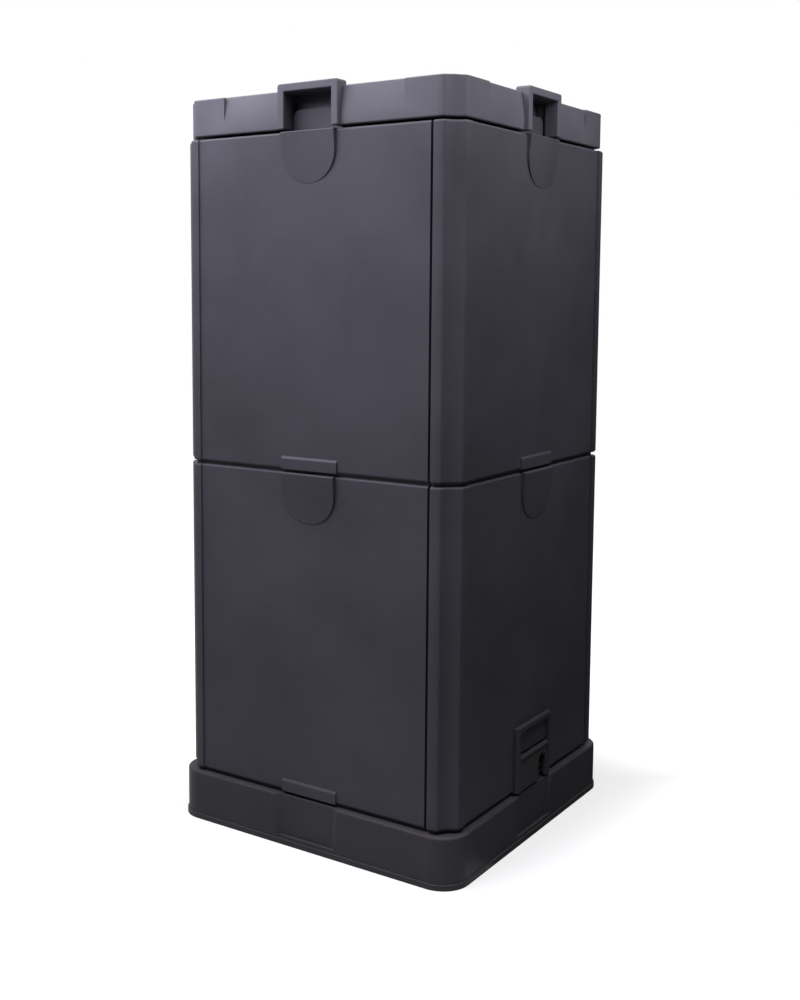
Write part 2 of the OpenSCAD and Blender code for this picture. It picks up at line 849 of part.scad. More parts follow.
module tap_hood() {
    x = half - face_step;
    z0 = flap_z;
    z1 = base_h + hood_h;
    color(TRAY) difference() {
        union() {
            for (s = [-1, 1]) translate([x, s * hood_w / 2, z0]) linear_extrude(z1 - z0)
                rotate(s > 0 ? -90 : 90) mirror([0, s > 0 ? 0 : 1]) rail_plan();
            block([x, -hood_w / 2 + rail_w - 1, plate_z], [x + 3, hood_w / 2 - rail_w + 1, z1]);
            block([x, -hood_w / 2 + rail_w - 1, z1 - lip_h], [x + hood_d, hood_w / 2 - rail_w + 1, z1]);
        }
        translate([hinge_x, -hood_w / 2 + 2, hinge_z]) rotate([-90, 0, 0])
            cylinder(hood_w - 4, r = pin_r + run_gap / 2);
    }
}

// The flap hangs on its pin and swings out; the slot clears the spout
module tap_flap() {
    slot_top = base_h + flap_slot_h - flap_slot_w / 2;
    color(TRAY) difference() {
        union() {
            block([flap_x, -flap_w / 2, flap_z], [flap_x + flap_t, flap_w / 2, hinge_z]);
            translate([hinge_x, -flap_w / 2, hinge_z]) rotate([-90, 0, 0]) cylinder(flap_w, r = barrel_r);
        }
        translate([hinge_x, -hood_w / 2, hinge_z]) rotate([-90, 0, 0]) cylinder(hood_w, r = pin_r + run_gap);
        translate([flap_x - 5, tap_y, slot_top]) rotate([0, 90, 0]) cylinder(20, r = flap_slot_w / 2);
        block([flap_x - 5, tap_y - flap_slot_w / 2, base_h],
              [flap_x + 15, tap_y + flap_slot_w / 2, slot_top]);
    }
}

module flap_pin() {
    color("#b9bcc0") translate([hinge_x, -hood_w / 2 + 2, hinge_z]) rotate([-90, 0, 0])
        cylinder(hood_w - 4, r = pin_r);
}

for (t = [0, 1], i = [0:3]) {
    name = str(TIERS[t], "_", SIDES[i]);
    has_tap = t == 0 && i == 1;
    z = base_h + t * tier_h;
    at_side(i) front_skin(z, has_tap);
    at_side(i) front_core(z, has_tap);
    at_side(i) front_liner(z, has_tap);
}
for (t = [0, 1])
    corner_keys(base_h + t * tier_h);
for (i = [0:3]) {
    at_side(i) handle();
    at_side(i) pocket_walls();
}
base_skirt();
base_tray();
tray_feet();
deck_ledge();
air_chimney();
draining_deck();
air_grille();
duct_foot();
lower_duct();
upper_duct();
duct_cap();
lid_shell();
lid_core();
lid_liner();
lid_seal();
tap_body();
tap_washer();
tap_nut();
tap_lever();
tap_hood();
tap_flap();
flap_pin();
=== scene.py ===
import math

import bpy
from mathutils import Matrix, Vector


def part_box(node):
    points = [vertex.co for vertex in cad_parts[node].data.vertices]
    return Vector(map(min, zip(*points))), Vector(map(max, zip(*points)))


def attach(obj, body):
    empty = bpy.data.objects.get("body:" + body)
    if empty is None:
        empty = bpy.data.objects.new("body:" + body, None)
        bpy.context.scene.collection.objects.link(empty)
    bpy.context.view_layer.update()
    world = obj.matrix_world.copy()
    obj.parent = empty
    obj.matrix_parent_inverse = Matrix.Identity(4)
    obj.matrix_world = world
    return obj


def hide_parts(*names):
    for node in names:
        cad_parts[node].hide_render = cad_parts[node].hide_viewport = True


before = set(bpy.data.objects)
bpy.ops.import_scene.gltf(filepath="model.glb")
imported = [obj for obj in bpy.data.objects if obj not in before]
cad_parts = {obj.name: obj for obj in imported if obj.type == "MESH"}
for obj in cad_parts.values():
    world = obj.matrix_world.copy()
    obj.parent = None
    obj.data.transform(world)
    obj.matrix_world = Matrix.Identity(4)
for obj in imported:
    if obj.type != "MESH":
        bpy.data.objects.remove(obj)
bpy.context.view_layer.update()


# The camera
# It stands to the right of the near corner at waist height and looks a little down; a small shift
# keeps the tower's upright lines as upright as the photograph shows them.
camera_place = (1.1438, -1.8042, 0.8743)
camera_yaw = math.radians(34.25)
camera_pitch = math.radians(5.96)
camera_roll = math.radians(0.25)
camera_data = bpy.data.cameras.new("camera")
camera_data.sensor_width = 36
camera_data.lens = 45.37
camera_data.shift_x = 0.042
camera_data.shift_y = -0.073
camera = bpy.data.objects.new("camera", camera_data)
bpy.context.scene.collection.objects.link(camera)
camera.matrix_world = (
    Matrix.Translation(camera_place)
    @ Matrix.Rotation(camera_yaw, 4, "Z")
    @ Matrix.Rotation(math.pi / 2 - camera_pitch, 4, "X")
    @ Matrix.Rotation(camera_roll, 4, "Z")
)
bpy.context.scene.camera = camera
bpy.context.scene.view_settings.view_transform = "Standard"


# The studio
# White rolled paper whose seen glow is painted light, greyer round the tower and white further off,
# and two black flags that only reflections see. Three soft boxes light the tower: a wide key box high at
# the front left, a large one overhead and a weak one near the lid's right side.
def linear(code):
    """The linear colour of an sRGB hex code such as 3c3a41."""
    channels = [int(code[k : k + 2], 16) / 255 for k in (0, 2, 4)]
    return [c / 12.92 if c <= 0.04045 else ((c + 0.055) / 1.055) ** 2.4 for c in channels] + [1]


def add_node(tree, kind, settings=None, **inputs):
    """Adds a shader node. An input is named in full or by number, as in _1; a tuple of a node and
    an output links it, and any other value sets it."""
    node = tree.nodes.new("ShaderNode" + kind)
    for name, value in (settings or {}).items():
        setattr(node, name, value)
    for name, value in inputs.items():
        socket = node.inputs[int(name[1:]) if name[1:].isdigit() else name.replace("_", " ")]
        if isinstance(value, tuple) and isinstance(value[0], bpy.types.Node):
            tree.links.new(value[0].outputs[value[1]], socket)
        else:
            socket.default_value = value
    return node


def add_soft_box(name, place, target, width, height, power, colour):
    """A rectangular lamp that points at a target, out of the camera's sight."""
    data = bpy.data.lights.new(name, "AREA")
    data.shape = "RECTANGLE"
    data.size = width
    data.size_y = height
    data.energy = power
    data.color = linear(colour)[:3]
    lamp = bpy.data.objects.new(name, data)
    bpy.context.scene.collection.objects.link(lamp)
    lamp.location = place
    lamp.visible_camera = False
    lamp.rotation_euler = (Vector(target) - Vector(place)).to_track_quat("-Z", "Y").to_euler()


def add_seen(tree):
    """1 for the rays that show the background itself, 0 for the rays that light the object."""
    rays = add_node(tree, "LightPath")
    direct = add_node(
        tree, "Math", {"operation": "MAXIMUM"}, _0=(rays, "Is Camera Ray"), _1=(rays, "Is Glossy Ray")
    )
    return add_node(
        tree, "Math", {"operation": "MAXIMUM"}, _0=(direct, 0), _1=(rays, "Is Transmission Ray")
    )


# The paper lights the object as a matt mid grey. What the eye sees of it is a painted glow that
# brightens from the tower's foot outwards: near the foot it leaves the real shadow showing, and further
# off it is painted light that whites the shadow out.
paper_size = 24
grey_edge = 0.27
white_edge = 0.52
grey_glow = 0.62
white_glow = 0.98

paper = bpy.data.materials.new("white_paper_rolled")
paper.use_nodes = True
tree = paper.node_tree
tree.nodes.clear()
matt = add_node(tree, "BsdfDiffuse", Color=linear("9c9c9b"))
spot = add_node(tree, "SeparateXYZ", Vector=(add_node(tree, "TexCoord"), "Object"))
across = add_node(tree, "Math", {"operation": "ABSOLUTE"}, _0=(spot, "X"))
along = add_node(tree, "Math", {"operation": "ABSOLUTE"}, _0=(spot, "Y"))
away = add_node(tree, "Math", {"operation": "MAXIMUM"}, _0=(across, 0), _1=(along, 0))
painted_light_level = add_node(
    tree,
    "MapRange",
    {"interpolation_type": "SMOOTHSTEP"},
    _0=(away, 0),
    _1=grey_edge,
    _2=white_edge,
    _3=grey_glow,
    _4=white_glow,
)
glow = add_node(tree, "Emission", Color=(1, 1, 1, 1), Strength=(painted_light_level, 0))
unseen = add_node(tree, "Emission", Color=(1, 1, 1, 1), Strength=0)
halo = add_node(tree, "MixShader", _0=(add_seen(tree), 0), _1=(unseen, 0), _2=(glow, 0))
lit = add_node(tree, "AddShader", _0=(matt, 0), _1=(halo, 0))
add_node(tree, "OutputMaterial", Surface=(lit, 0))

bpy.ops.object.select_all(action="DESELECT")
bpy.ops.mesh.primitive_plane_add(size=paper_size, location=(0, 0, 0))
floor = bpy.context.object
floor.name = "paper_floor"
floor.data.materials.append(paper)

# Two black flags at the far right, one upright and one on the paper, are there only for reflections:
# they keep the paper's shine off the tower's right side
flag_w = 3.2
flag_turn = math.radians(-40)

card = bpy.data.materials.new("black_card_flag")
card.use_nodes = True
tree = card.node_tree
tree.nodes.clear()
rays = add_node(tree, "LightPath")
absent = add_node(tree, "BsdfTransparent")
black = add_node(tree, "BsdfDiffuse", Color=linear("141414"))
shown = add_node(tree, "MixShader", _0=(rays, "Is Glossy Ray"), _1=(absent, 0), _2=(black, 0))
add_node(tree, "OutputMaterial", Surface=(shown, 0))

flags = (
    ("flag", (1.2, 1.3, 1.2), 90, 2.4),
    ("flag_foot", (1.1, 0.6, 0.002), 0, 2.2),
)
for name, place, lean, height in flags:
    bpy.ops.object.select_all(action="DESELECT")
    bpy.ops.mesh.primitive_plane_add(size=1, location=place, rotation=(math.radians(lean), 0, flag_turn))
    flag = bpy.context.object
    flag.name = name
    flag.scale = (flag_w, height, 1)
    flag.data.materials.append(card)

# The world is white to camera, glossy and transmission rays, and gives the object a faint fill
world = bpy.data.worlds.new("studio")
bpy.context.scene.world = world
world.use_nodes = True
tree = world.node_tree
tree.nodes.clear()
fill = add_node(tree, "Background", Color=linear("eef0f4"), Strength=0.07)
white = add_node(tree, "Background", Color=(1, 1, 1, 1), Strength=1)
both = add_node(tree, "MixShader", _0=(add_seen(tree), 0), _1=(fill, 0), _2=(white, 0))
add_node(tree, "OutputWorld", Surface=(both, 0))

add_soft_box(
    "key_box", (-0.47, -0.8, 1.67), (0.05, -0.26, 1.2), width=1.4, height=0.6, power=33, colour="f4f2ff"
)
add_soft_box(
    "top_box", (0.3, -0.4, 2.4), (0.15, -0.2, 1.1), width=2.2, height=2.0, power=64, colour="f6f8ff"
)
add_soft_box(
    "side_box", (0.66, -0.08, 1.38), (0.2, -0.06, 1.12), width=0.5, height=0.3, power=3.8, colour="f8f6fc"
)


# The base skirt
# The foot of the tower, one injection moulding in recycled polypropylene: a foot, a band with a shallow
# niche in each side, and a ring on top that the wall panels stand on.
mm = 0.001


def add_box(name, low, high):
    """A box between two corners, its place in its mesh."""
    low, high = Vector(low), Vector(high)
    bpy.ops.object.select_all(action="DESELECT")
    bpy.ops.mesh.primitive_cube_add(size=1, location=(low + high) / 2)
    piece = bpy.context.object
    piece.name = name
    piece.scale = high - low
    bpy.ops.object.transform_apply(location=True, rotation=True, scale=True)
    return piece


def add_square(name, half_width, z0, z1):
    return add_box(name, (-half_width, -half_width, z0), (half_width, half_width, z1))


def only(piece):
    """Selects one piece and nothing else."""
    bpy.ops.object.select_all(action="DESELECT")
    piece.select_set(True)
    bpy.context.view_layer.objects.active = piece


def edit(piece, kind, test):
    """Opens edit mode with some of a piece selected. The test gets a vertex's place, a face's middle
    and normal, or an edge's two ends and the normals of its faces."""
    only(piece)
    mesh = piece.data
    for item in (*mesh.vertices, *mesh.edges, *mesh.polygons):
        item.select = False
    if kind == "VERT":
        for vertex in mesh.vertices:
            vertex.select = test(vertex.co)
    elif kind == "FACE":
        for face in mesh.polygons:
            face.select = test(face.center, face.normal)
    else:
        sides = {}
        for face in mesh.polygons:
            for key in face.edge_keys:
                sides.setdefault(key, []).append(face.normal)
        for edge in mesh.edges:
            a, b = (mesh.vertices[k].co for k in edge.vertices)
            edge.select = test(a, b, sides[edge.key])
    bpy.context.tool_settings.mesh_select_mode = [kind == name for name in ("VERT", "EDGE", "FACE")]
    bpy.ops.object.mode_set(mode="EDIT")


def close():
    bpy.ops.object.mode_set(mode="OBJECT")


def near(a, b):
    return abs(a - b) < 2e-5


def round_edges(piece, test, radius, segments=4):
    """Rounds the edges that a test picks out."""
    edit(piece, "EDGE", test)
    bpy.ops.mesh.bevel(
        offset=radius, offset_type="OFFSET", segments=segments, profile=0.5, affect="EDGES"
    )
    close()


def upright(a, b, sides):
    return near(a.x, b.x) and near(a.y, b.y)


def sharp(a, b, sides):
    return len(sides) == 2 and sides[0].angle(sides[1]) > math.radians(50)


def combine(piece, other, operation):
    """Cuts other from the piece, or joins it on, and drops it."""
    only(piece)
    step = piece.modifiers.new("combine", "BOOLEAN")
    step.object = other
    step.operation = operation
    step.solver = "EXACT"
    bpy.ops.object.modifier_apply(modifier=step.name)
    bpy.data.objects.remove(other)


def cut(piece, low, high):
    combine(piece, add_box("cutter", low, high), "DIFFERENCE")


def join(piece, *others):
    for other in others:
        combine(piece, other, "UNION")


def turn(piece, side):
    """Turns a piece drawn at the front to another side of the tower."""
    only(piece)
    piece.rotation_euler.z = side * math.pi / 2
    bpy.ops.object.transform_apply(location=True, rotation=True, scale=True)
    return piece


def shade(piece, material, angle=35):
    """Smooth shading that keeps flat faces flat."""
    only(piece)
    bpy.ops.object.shade_smooth_by_angle(angle=math.radians(angle))
    step = piece.modifiers.new("shade", "WEIGHTED_NORMAL")
    step.weight = 100
    step.keep_sharp = True
    bpy.ops.object.modifier_apply(modifier=step.name)
    piece.data.materials.clear()
    piece.data.materials.append(material)


def fit(piece, material, body, slot, *nodes):
    """Puts a finished piece on its body in the place of the CAD nodes that it stands for."""
    shade(piece, material)
    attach(piece, body)
    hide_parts(*nodes)


def moulded_plastic(name, code, bloom_code, roughness, wave, grain):
    """Moulded polyolefin: faint long waves from cooling, a fine spark-eroded grain and a dry bloom in
    the colour. wave and grain are heights in metres; the grain is drawn 3 mm coarse so that it shows."""
    material = bpy.data.materials.new(name)
    material.use_nodes = True
    tree = material.node_tree
    tree.nodes.clear()
    place = add_node(tree, "TexCoord")
    cloud = add_node(tree, "TexNoise", Vector=(place, "Object"), Scale=4.5, Detail=6.0, Roughness=0.62)
    tone = add_node(tree, "ValToRGB", Fac=(cloud, 0))
    tone.color_ramp.elements[0].position = 0.36
    tone.color_ramp.elements[0].color = linear(code)
    tone.color_ramp.elements[1].position = 0.70
    tone.color_ramp.elements[1].color = linear(bloom_code)
    dry = add_node(
        tree, "MapRange", _0=(cloud, 0), _1=0.3, _2=0.7, _3=roughness - 0.03, _4=roughness + 0.05
    )
    waves = add_node(tree, "TexNoise", Vector=(place, "Object"), Scale=7.0, Detail=1.0, Roughness=0.4)
    long_bump = add_node(tree, "Bump", Strength=1.0, Distance=wave, Height=(waves, 0))
    grit = add_node(tree, "TexNoise", Vector=(place, "Object"), Scale=330.0, Detail=3.0, Roughness=0.6)
    bump = add_node(tree, "Bump", Strength=0.5, Distance=grain, Height=(grit, 0), Normal=(long_bump, 0))
    skin = add_node(
        tree, "BsdfPrincipled", Base_Color=(tone, 0), Roughness=(dry, 0), Normal=(bump, 0), IOR=1.49
    )
    skin.inputs["Specular IOR Level"].default_value = 0.08
    add_node(tree, "OutputMaterial", Surface=(skin, 0))
    return material


skirt_plastic = moulded_plastic(
    "recycled_polypropylene_moulded_skirt", "343234", "3d3b3d", 0.5, 0.0008, 0.00012
)

base_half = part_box("base_skirt")[1][0]
base_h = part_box("lower_front_skin")[0][2]
panel_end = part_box("lower_front_skin")[1][0]
wall_t = 42 * mm
corner_run = 42.5 * mm
half = panel_end + corner_run
inner = half - wall_t
tray_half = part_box("base_tray")[1][0]
base_r = 46 * mm
base_steps = 20
base_edge_r = 3.5 * mm
foot_h = 9 * mm
foot_step = 2 * mm
foot_edge_r = 1.2 * mm
base_t = 4 * mm
band_half = base_half - foot_step
ring_z = base_h - base_t
niche_half = 49 * mm
niche_run = 14 * mm
niche_d = 5 * mm
niche_z = 14 * mm
niche_y = -band_half + niche_d
niche_edge_r = 1.5 * mm
rib_x = 150 * mm
way_x = (70 * mm, 130 * mm)
way_h = 4 * mm

skirt = add_square("base_skirt_moulding", band_half, 0, base_h)
round_edges(skirt, upright, base_r - foot_step, base_steps)
round_edges(skirt, lambda a, b, sides: sharp(a, b, sides) and near(a.z, base_h), base_edge_r, 5)
foot = add_square("foot", base_half, 0, foot_h)
round_edges(foot, upright, base_r, base_steps)
round_edges(foot, lambda a, b, sides: sharp(a, b, sides) and near(a.z, foot_h), foot_edge_r, 3)
join(skirt, foot)

hollow = add_square("hollow", band_half - base_t, -mm, ring_z)
round_edges(hollow, upright, base_r - foot_step - base_t, 12)
for side in range(4):
    for x in (-rib_x, rib_x):
        rib = add_box("rib", (x - base_t / 2, -half, -2 * mm), (x + base_t / 2, -inner, base_h))
        combine(hollow, turn(rib, side), "DIFFERENCE")
    back_half = niche_half + niche_run + base_t
    back = add_box("niche_back", (-back_half, -base_half, -2 * mm), (back_half, niche_y + base_t, base_h))
    combine(hollow, turn(back, side), "DIFFERENCE")
combine(skirt, hollow, "DIFFERENCE")
cut(skirt, (-tray_half, -tray_half, -mm), (tray_half, tray_half, base_h + mm))

for side in range(4):
    niche = add_box(
        "niche", (-niche_half, niche_y - niche_d - mm, niche_z), (niche_half, niche_y, base_h + mm)
    )
    edit(niche, "VERT", lambda p: p.y < niche_y - mm)
    mouth = 1 + niche_run * (niche_d + mm) / niche_d / niche_half
    bpy.ops.transform.resize(value=(mouth, 1, 1), center_override=(0, 0, 0))
    close()
    round_edges(
        niche,
        lambda a, b, sides: near(a.y, niche_y) and near(b.y, niche_y) and a.z < base_h,
        niche_edge_r,
        3,
    )
    combine(skirt, turn(niche, side), "DIFFERENCE")
for side in (2, 3):
    for sign in (-1, 1):
        low, high = sorted((sign * way_x[0], sign * way_x[1]))
        way = add_box("air_way", (low, -base_half - mm, -mm), (high, -inner, way_h))
        combine(skirt, turn(way, side), "DIFFERENCE")

# The tongue on the skirt and on each panel is a flat fin with two round upper corners
tongue_half = 46 * mm
tongue_y = (-half + 23 * mm, -half + 35 * mm)
tongue_h = 35 * mm
tongue_r = 12 * mm
tongue_edge_r = 0.8 * mm


def add_tongue(z):
    top = z + tongue_h
    tongue = add_box("tongue", (-tongue_half, tongue_y[0], z - mm), (tongue_half, tongue_y[1], top))
    round_edges(
        tongue, lambda a, b, sides: near(a.z, top) and near(b.z, top) and near(a.x, b.x), tongue_r, 8
    )
    round_edges(tongue, lambda a, b, sides: sharp(a, b, sides) and min(a.z, b.z) > z, tongue_edge_r, 2)
    return tongue


for side in (0, 2, 3):
    join(skirt, turn(add_tongue(base_h), side))
fit(skirt, skirt_plastic, "root", "tray_plastic", "base_skirt")


# The tray, its feet and ledge, and the chimney
# A square polypropylene tray that catches the leachate, with a ledge for the deck and a pipe in its floor
# that leads air up. The solids have their full shape and only get their material.
def dress(material, *nodes):
    """Gives CAD nodes that are shown as they are their material."""
    for node in nodes:
        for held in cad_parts[node].material_slots:
            held.material = material


tray_plastic = moulded_plastic(
    "recycled_polypropylene_moulded_tray", "29272b", "353237", 0.55, 0.0006, 0.00010
)
dress(tray_plastic, "base_tray", "tray_feet", "deck_ledge", "air_chimney")


# The draining deck
# A slotted plate of black polypropylene, moulded in one piece, that carries the compost. It lies loose
# on the tray's ledge.
deck_plastic = moulded_plastic("black_polypropylene_moulded_deck", "1f1e20", "2a282a", 0.6, 0.0005, 0.00014)
dress(deck_plastic, "draining_deck")


# The air duct and its grille
# Square slotted tubes of black polypropylene that plug into each other, with a foot, a cap and a flat
# insect grille below.
duct_plastic = moulded_plastic("black_polypropylene_moulded_duct", "191919", "242324", 0.5, 0.0005, 0.00010)
dress(duct_plastic, "air_grille", "duct_foot", "lower_duct", "upper_duct", "duct_cap")


# The wall panels
# Eight hollow skins, blow-moulded and grained on the outside, over a shadow gap. Each has the corner
# column with its cove at the left, a groove at the right, a raised shield at the top with a tongue behind
# it, and a sloping pad at its foot, and holds the foam and the liner in its cavity.
panel_plastic = moulded_plastic(
    "recycled_polypropylene_moulded_panel", "38373c", "424046", 0.47, 0.0010, 0.00012
)
tier_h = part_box("upper_front_skin")[0][2] - base_h
face_y = -half + 2.5 * mm
column_r = 38 * mm
column_steps = 12
skin_t = 3 * mm
cap_t = 8 * mm
seam_h = 5 * mm
seam_d = 8 * mm
seam_w = 5 * mm
liner_y = -inner - skin_t
top_r = 4 * mm
cove_half = 16 * mm
cove_r = 40 * mm
cove_steps = 40
arris_r = 2.2 * mm
shield_r = 49 * mm
shield_h = 78 * mm
shield_d = 7.5 * mm
shield_lip = 0.5 * mm
shield_lean = math.atan((shield_d - shield_lip) / shield_h)
shield_edge_r = 2 * mm
shield_back = 12 * mm
crest_half = 48 * mm
crest_h = 7 * mm
crest_y = (face_y + 0.5 * mm, face_y + 6 * mm)
key_y = -half + 22 * mm
key_depth = 6 * mm
key_half = 6 * mm
key_neck = 4 * mm
key_gap = 0.25 * mm
pad_half = 52.5 * mm
pad_d = 3 * mm
pad_h = 25 * mm
pad_drop = 3.5 * mm
pad_edge_r = 0.6 * mm


def arris(a, b, sides):
    """An upright edge between a rounded corner and the cove in it."""
    return upright(a, b, sides) and math.radians(25) < sides[0].angle(sides[1]) < math.radians(80)


def copy_of(piece, name, side=0, lift=0.0):
    """A copy with its own mesh, turned to another side and raised."""
    copy = bpy.data.objects.new(name, piece.data.copy())
    bpy.context.scene.collection.objects.link(copy)
    copy.location.z = lift
    return turn(copy, side)


def add_rod(name, start, end, radius, vertices=48):
    """A round bar between two points, its place in its mesh."""
    start, end = Vector(start), Vector(end)
    bpy.ops.object.select_all(action="DESELECT")
    bpy.ops.mesh.primitive_cylinder_add(
        vertices=vertices,
        radius=radius,
        depth=(end - start).length,
        location=(start + end) / 2,
        rotation=(end - start).to_track_quat("Z", "Y").to_euler(),
    )
    rod = bpy.context.object
    rod.name = name
    bpy.ops.object.transform_apply(location=True, rotation=True, scale=True)
    return rod


def tip(piece, angle, place):
    """Leans a cutter drawn at the origin and carries it to its place."""
    only(piece)
    piece.rotation_euler.x = angle
    piece.location = place
    bpy.ops.object.transform_apply(location=True, rotation=True, scale=True)
    return piece


def hollow_corner(piece, half_width, radius, grow, side=0):
    """Cuts the cove down one rounded corner of a square."""
    chord = math.sqrt(radius**2 - cove_half**2) + math.sqrt(cove_r**2 - cove_half**2)
    place = -half_width + radius - chord / math.sqrt(2)
    rod = add_rod("cove", (place, place, -0.1), (place, place, 2), cove_r + grow, cove_steps)
    combine(piece, turn(rod, side), "DIFFERENCE")


def add_column(inset, y_end, z0, z1):
    """The corner column between two heights, its outer corner rounded; inset moves its faces in."""
    column = add_box("column", (-half + inset, -half + inset, z0), (y_end, y_end, z1))
    round_edges(
        column,
        lambda a, b, sides: upright(a, b, sides) and near(a.x, -half + inset) and near(a.y, -half + inset),
        column_r - inset,
        column_steps,
    )
    hollow_corner(column, half, column_r, inset)
    if inset == 0:
        round_edges(column, arris, arris_r)
    return column


def add_shield(inset, top):
    """The shield's solid: a bar with a round lower end, its face leaning out towards the top."""
    side = shield_r - inset
    back = face_y + inset + mm
    middle = tier_h - shield_h + shield_r
    shield = add_rod("shield", (0, back - shield_back, middle), (0, back, middle), side, 96)
    join(shield, add_box("bar", (-side, back - shield_back, middle), (side, back, top)))
    waste = add_box("waste", (-0.1, -0.1, -0.1), (0.1, 0, 0.2))
    foot_place = (0, face_y + inset - shield_lip, tier_h - shield_h)
    combine(shield, tip(waste, shield_lean, foot_place), "DIFFERENCE")
    cut(shield, (-0.1, -0.4, top), (0.1, 0, top + 0.1))
    return shield


def add_dovetail(grow, z0, z1):
    """A key's groove at a panel's right end: narrow at the joint and wide inside."""
    depth = key_depth + grow
    key = add_box(
        "key", (panel_end - depth, key_y - key_half - grow, z0), (panel_end + mm, key_y + key_half + grow, z1)
    )
    edit(key, "VERT", lambda p: p.x > panel_end)
    narrow = (key_neck + grow) / (key_half + grow)
    bpy.ops.transform.resize(value=(1, narrow, 1), center_override=(0, key_y, 0))
    close()
    return key


def to_column(key):
    """Carries a groove from a panel's right end to the inner face of its column."""
    only(key)
    key.rotation_euler.z = -math.pi / 2
    bpy.ops.object.transform_apply(location=True, rotation=True, scale=True)
    key.location = (0, panel_end - inner, 0)
    bpy.ops.object.transform_apply(location=True, rotation=True, scale=True)
    return key


def add_cavity():
    """The space inside a skin, for the foam and the liner."""
    z0, z1 = cap_t, tier_h - cap_t
    right = panel_end - skin_t
    cavity = add_box("cavity", (-inner - skin_t - mm, face_y + skin_t, z0), (right, liner_y, z1))
    join(cavity, add_column(skin_t, liner_y, z0, z1))
    join(cavity, add_box("liner_seat", (-inner - skin_t, liner_y - mm, z0), (right, -inner + mm, z1)))
    cut(
        cavity,
        (panel_end - seam_w - skin_t, face_y, 0),
        (panel_end, face_y + seam_d + skin_t, tier_h),
    )
    combine(cavity, add_dovetail(skin_t, 0, tier_h), "DIFFERENCE")
    combine(cavity, to_column(add_dovetail(skin_t, 0, tier_h)), "DIFFERENCE")
    join(cavity, add_shield(skin_t, tier_h - cap_t))
    return cavity


def on_face(a, b, sides):
    """A sharp level edge of the outer face, at its top or foot."""
    return sharp(a, b, sides) and near(a.z, b.z) and near(a.y, b.y) and a.y < face_y + mm


def on_column(a, b, sides):
    """A sharp level edge of a column's outside, at its top or foot."""
    round_corner = max(a.x, b.x, a.y, b.y) < -inner - mm
    left_side = near(a.x, -half) and near(b.x, -half)
    outside = sharp(a, b, sides) and near(a.z, b.z) and (round_corner or left_side)
    return outside or on_face(a, b, sides)


def add_panel(name):
    """A solid panel with its column, on a foot that is set back behind the shadow gap."""
    left = -inner - 2 * mm
    panel = add_box(name, (left, face_y, seam_h), (panel_end, -inner, tier_h))
    column = add_column(0, -inner, seam_h, tier_h)
    round_edges(panel, on_face, top_r)
    round_edges(column, on_column, top_r)
    join(panel, column)
    join(panel, add_box("foot", (left, -half + seam_d, 0), (panel_end, -inner, seam_h + mm)))
    join(panel, add_column(seam_d, -inner, 0, seam_h + mm))
    cut(panel, (panel_end - seam_w, face_y - mm, -mm), (panel_end + mm, face_y + seam_d, tier_h + mm))
    return panel


def add_pad():
    """The pad at a panel's foot, its upper edge sloped like a sill, with a root in the panel."""
    pad = add_box("pad", (-pad_half, face_y - pad_d, seam_h), (pad_half, face_y, pad_h))
    edit(pad, "VERT", lambda p: p.y < face_y - mm and p.z > pad_h - mm)
    bpy.ops.transform.translate(value=(0, 0, -pad_drop))
    close()
    round_edges(pad, lambda a, b, sides: max(a.y, b.y) < face_y - mm, pad_edge_r, 2)
    root_half = pad_half - 0.5 * mm
    root_y = (face_y - 0.5 * mm, face_y + mm)
    join(pad, add_box("root", (-root_half, root_y[0], seam_h + mm), (root_half, root_y[1], pad_h - mm)))
    return pad


panel = add_panel("panel_moulding")
join(panel, add_tongue(tier_h))
shield = add_shield(0, tier_h)
round_edges(
    shield,
    lambda a, b, sides: near(a.z, tier_h) and near(b.z, tier_h) and max(a.y, b.y) < face_y - 5 * mm,
    shield_edge_r,
    3,
)
# The crest carries the shield's top back over the rounded edge of the panel
join(shield, add_box("crest", (-crest_half, crest_y[0], tier_h - crest_h), (crest_half, crest_y[1], tier_h)))
join(panel, shield)
combine(panel, add_cavity(), "DIFFERENCE")
combine(panel, add_dovetail(key_gap, -mm, tier_h + mm), "DIFFERENCE")
combine(panel, to_column(add_dovetail(key_gap, -mm, tier_h + mm)), "DIFFERENCE")
tap_panel = copy_of(panel, "tap_panel_moulding")
tongue_gap = 0.5 * mm
cut(
    panel,
    (-tongue_half - tongue_gap, tongue_y[0] - tongue_gap, -mm),
    (tongue_half + tongue_gap, tongue_y[1] + tongue_gap, cap_t + mm),
)
join(panel, add_pad())

sides = ("front", "right", "back", "left")
for tier, lift in (("lower", base_h), ("upper", base_h + tier_h)):
    for side, side_name in enumerate(sides):
        if (tier, side_name) != ("lower", "right"):
            name = f"{tier}_{side_name}_skin"
            skin = copy_of(panel, f"{name}_moulding", side, lift)
            fit(skin, panel_plastic, "root", "panel_skin", name)
bpy.data.objects.remove(panel)

# The lower right panel has a square alcove at its foot that the tap stands in, and no pad. Its wall
# would close the shadow gap, so the gap is cut once more
alcove_half = 47 * mm
sill_h = 4.5 * mm
alcove_top = 62.5 * mm
gap_half = 60 * mm
alcove_low = Vector((-alcove_half, face_y - mm, sill_h))
alcove_high = Vector((alcove_half, liner_y, alcove_top))
wall = Vector((skin_t, 0, skin_t))
join(tap_panel, add_box("alcove_wall", alcove_low - wall + Vector((0, 2 * mm, 0)), alcove_high + wall))
cut(tap_panel, alcove_low, alcove_high + Vector((0, 0.5 * mm, 0)))
cut(tap_panel, (-gap_half, -half - mm, -mm), (gap_half, -half + seam_d, seam_h))
skin = copy_of(tap_panel, "lower_right_skin_moulding", 1, base_h)
fit(skin, panel_plastic, "root", "panel_skin", "lower_right_skin")
bpy.data.objects.remove(tap_panel)


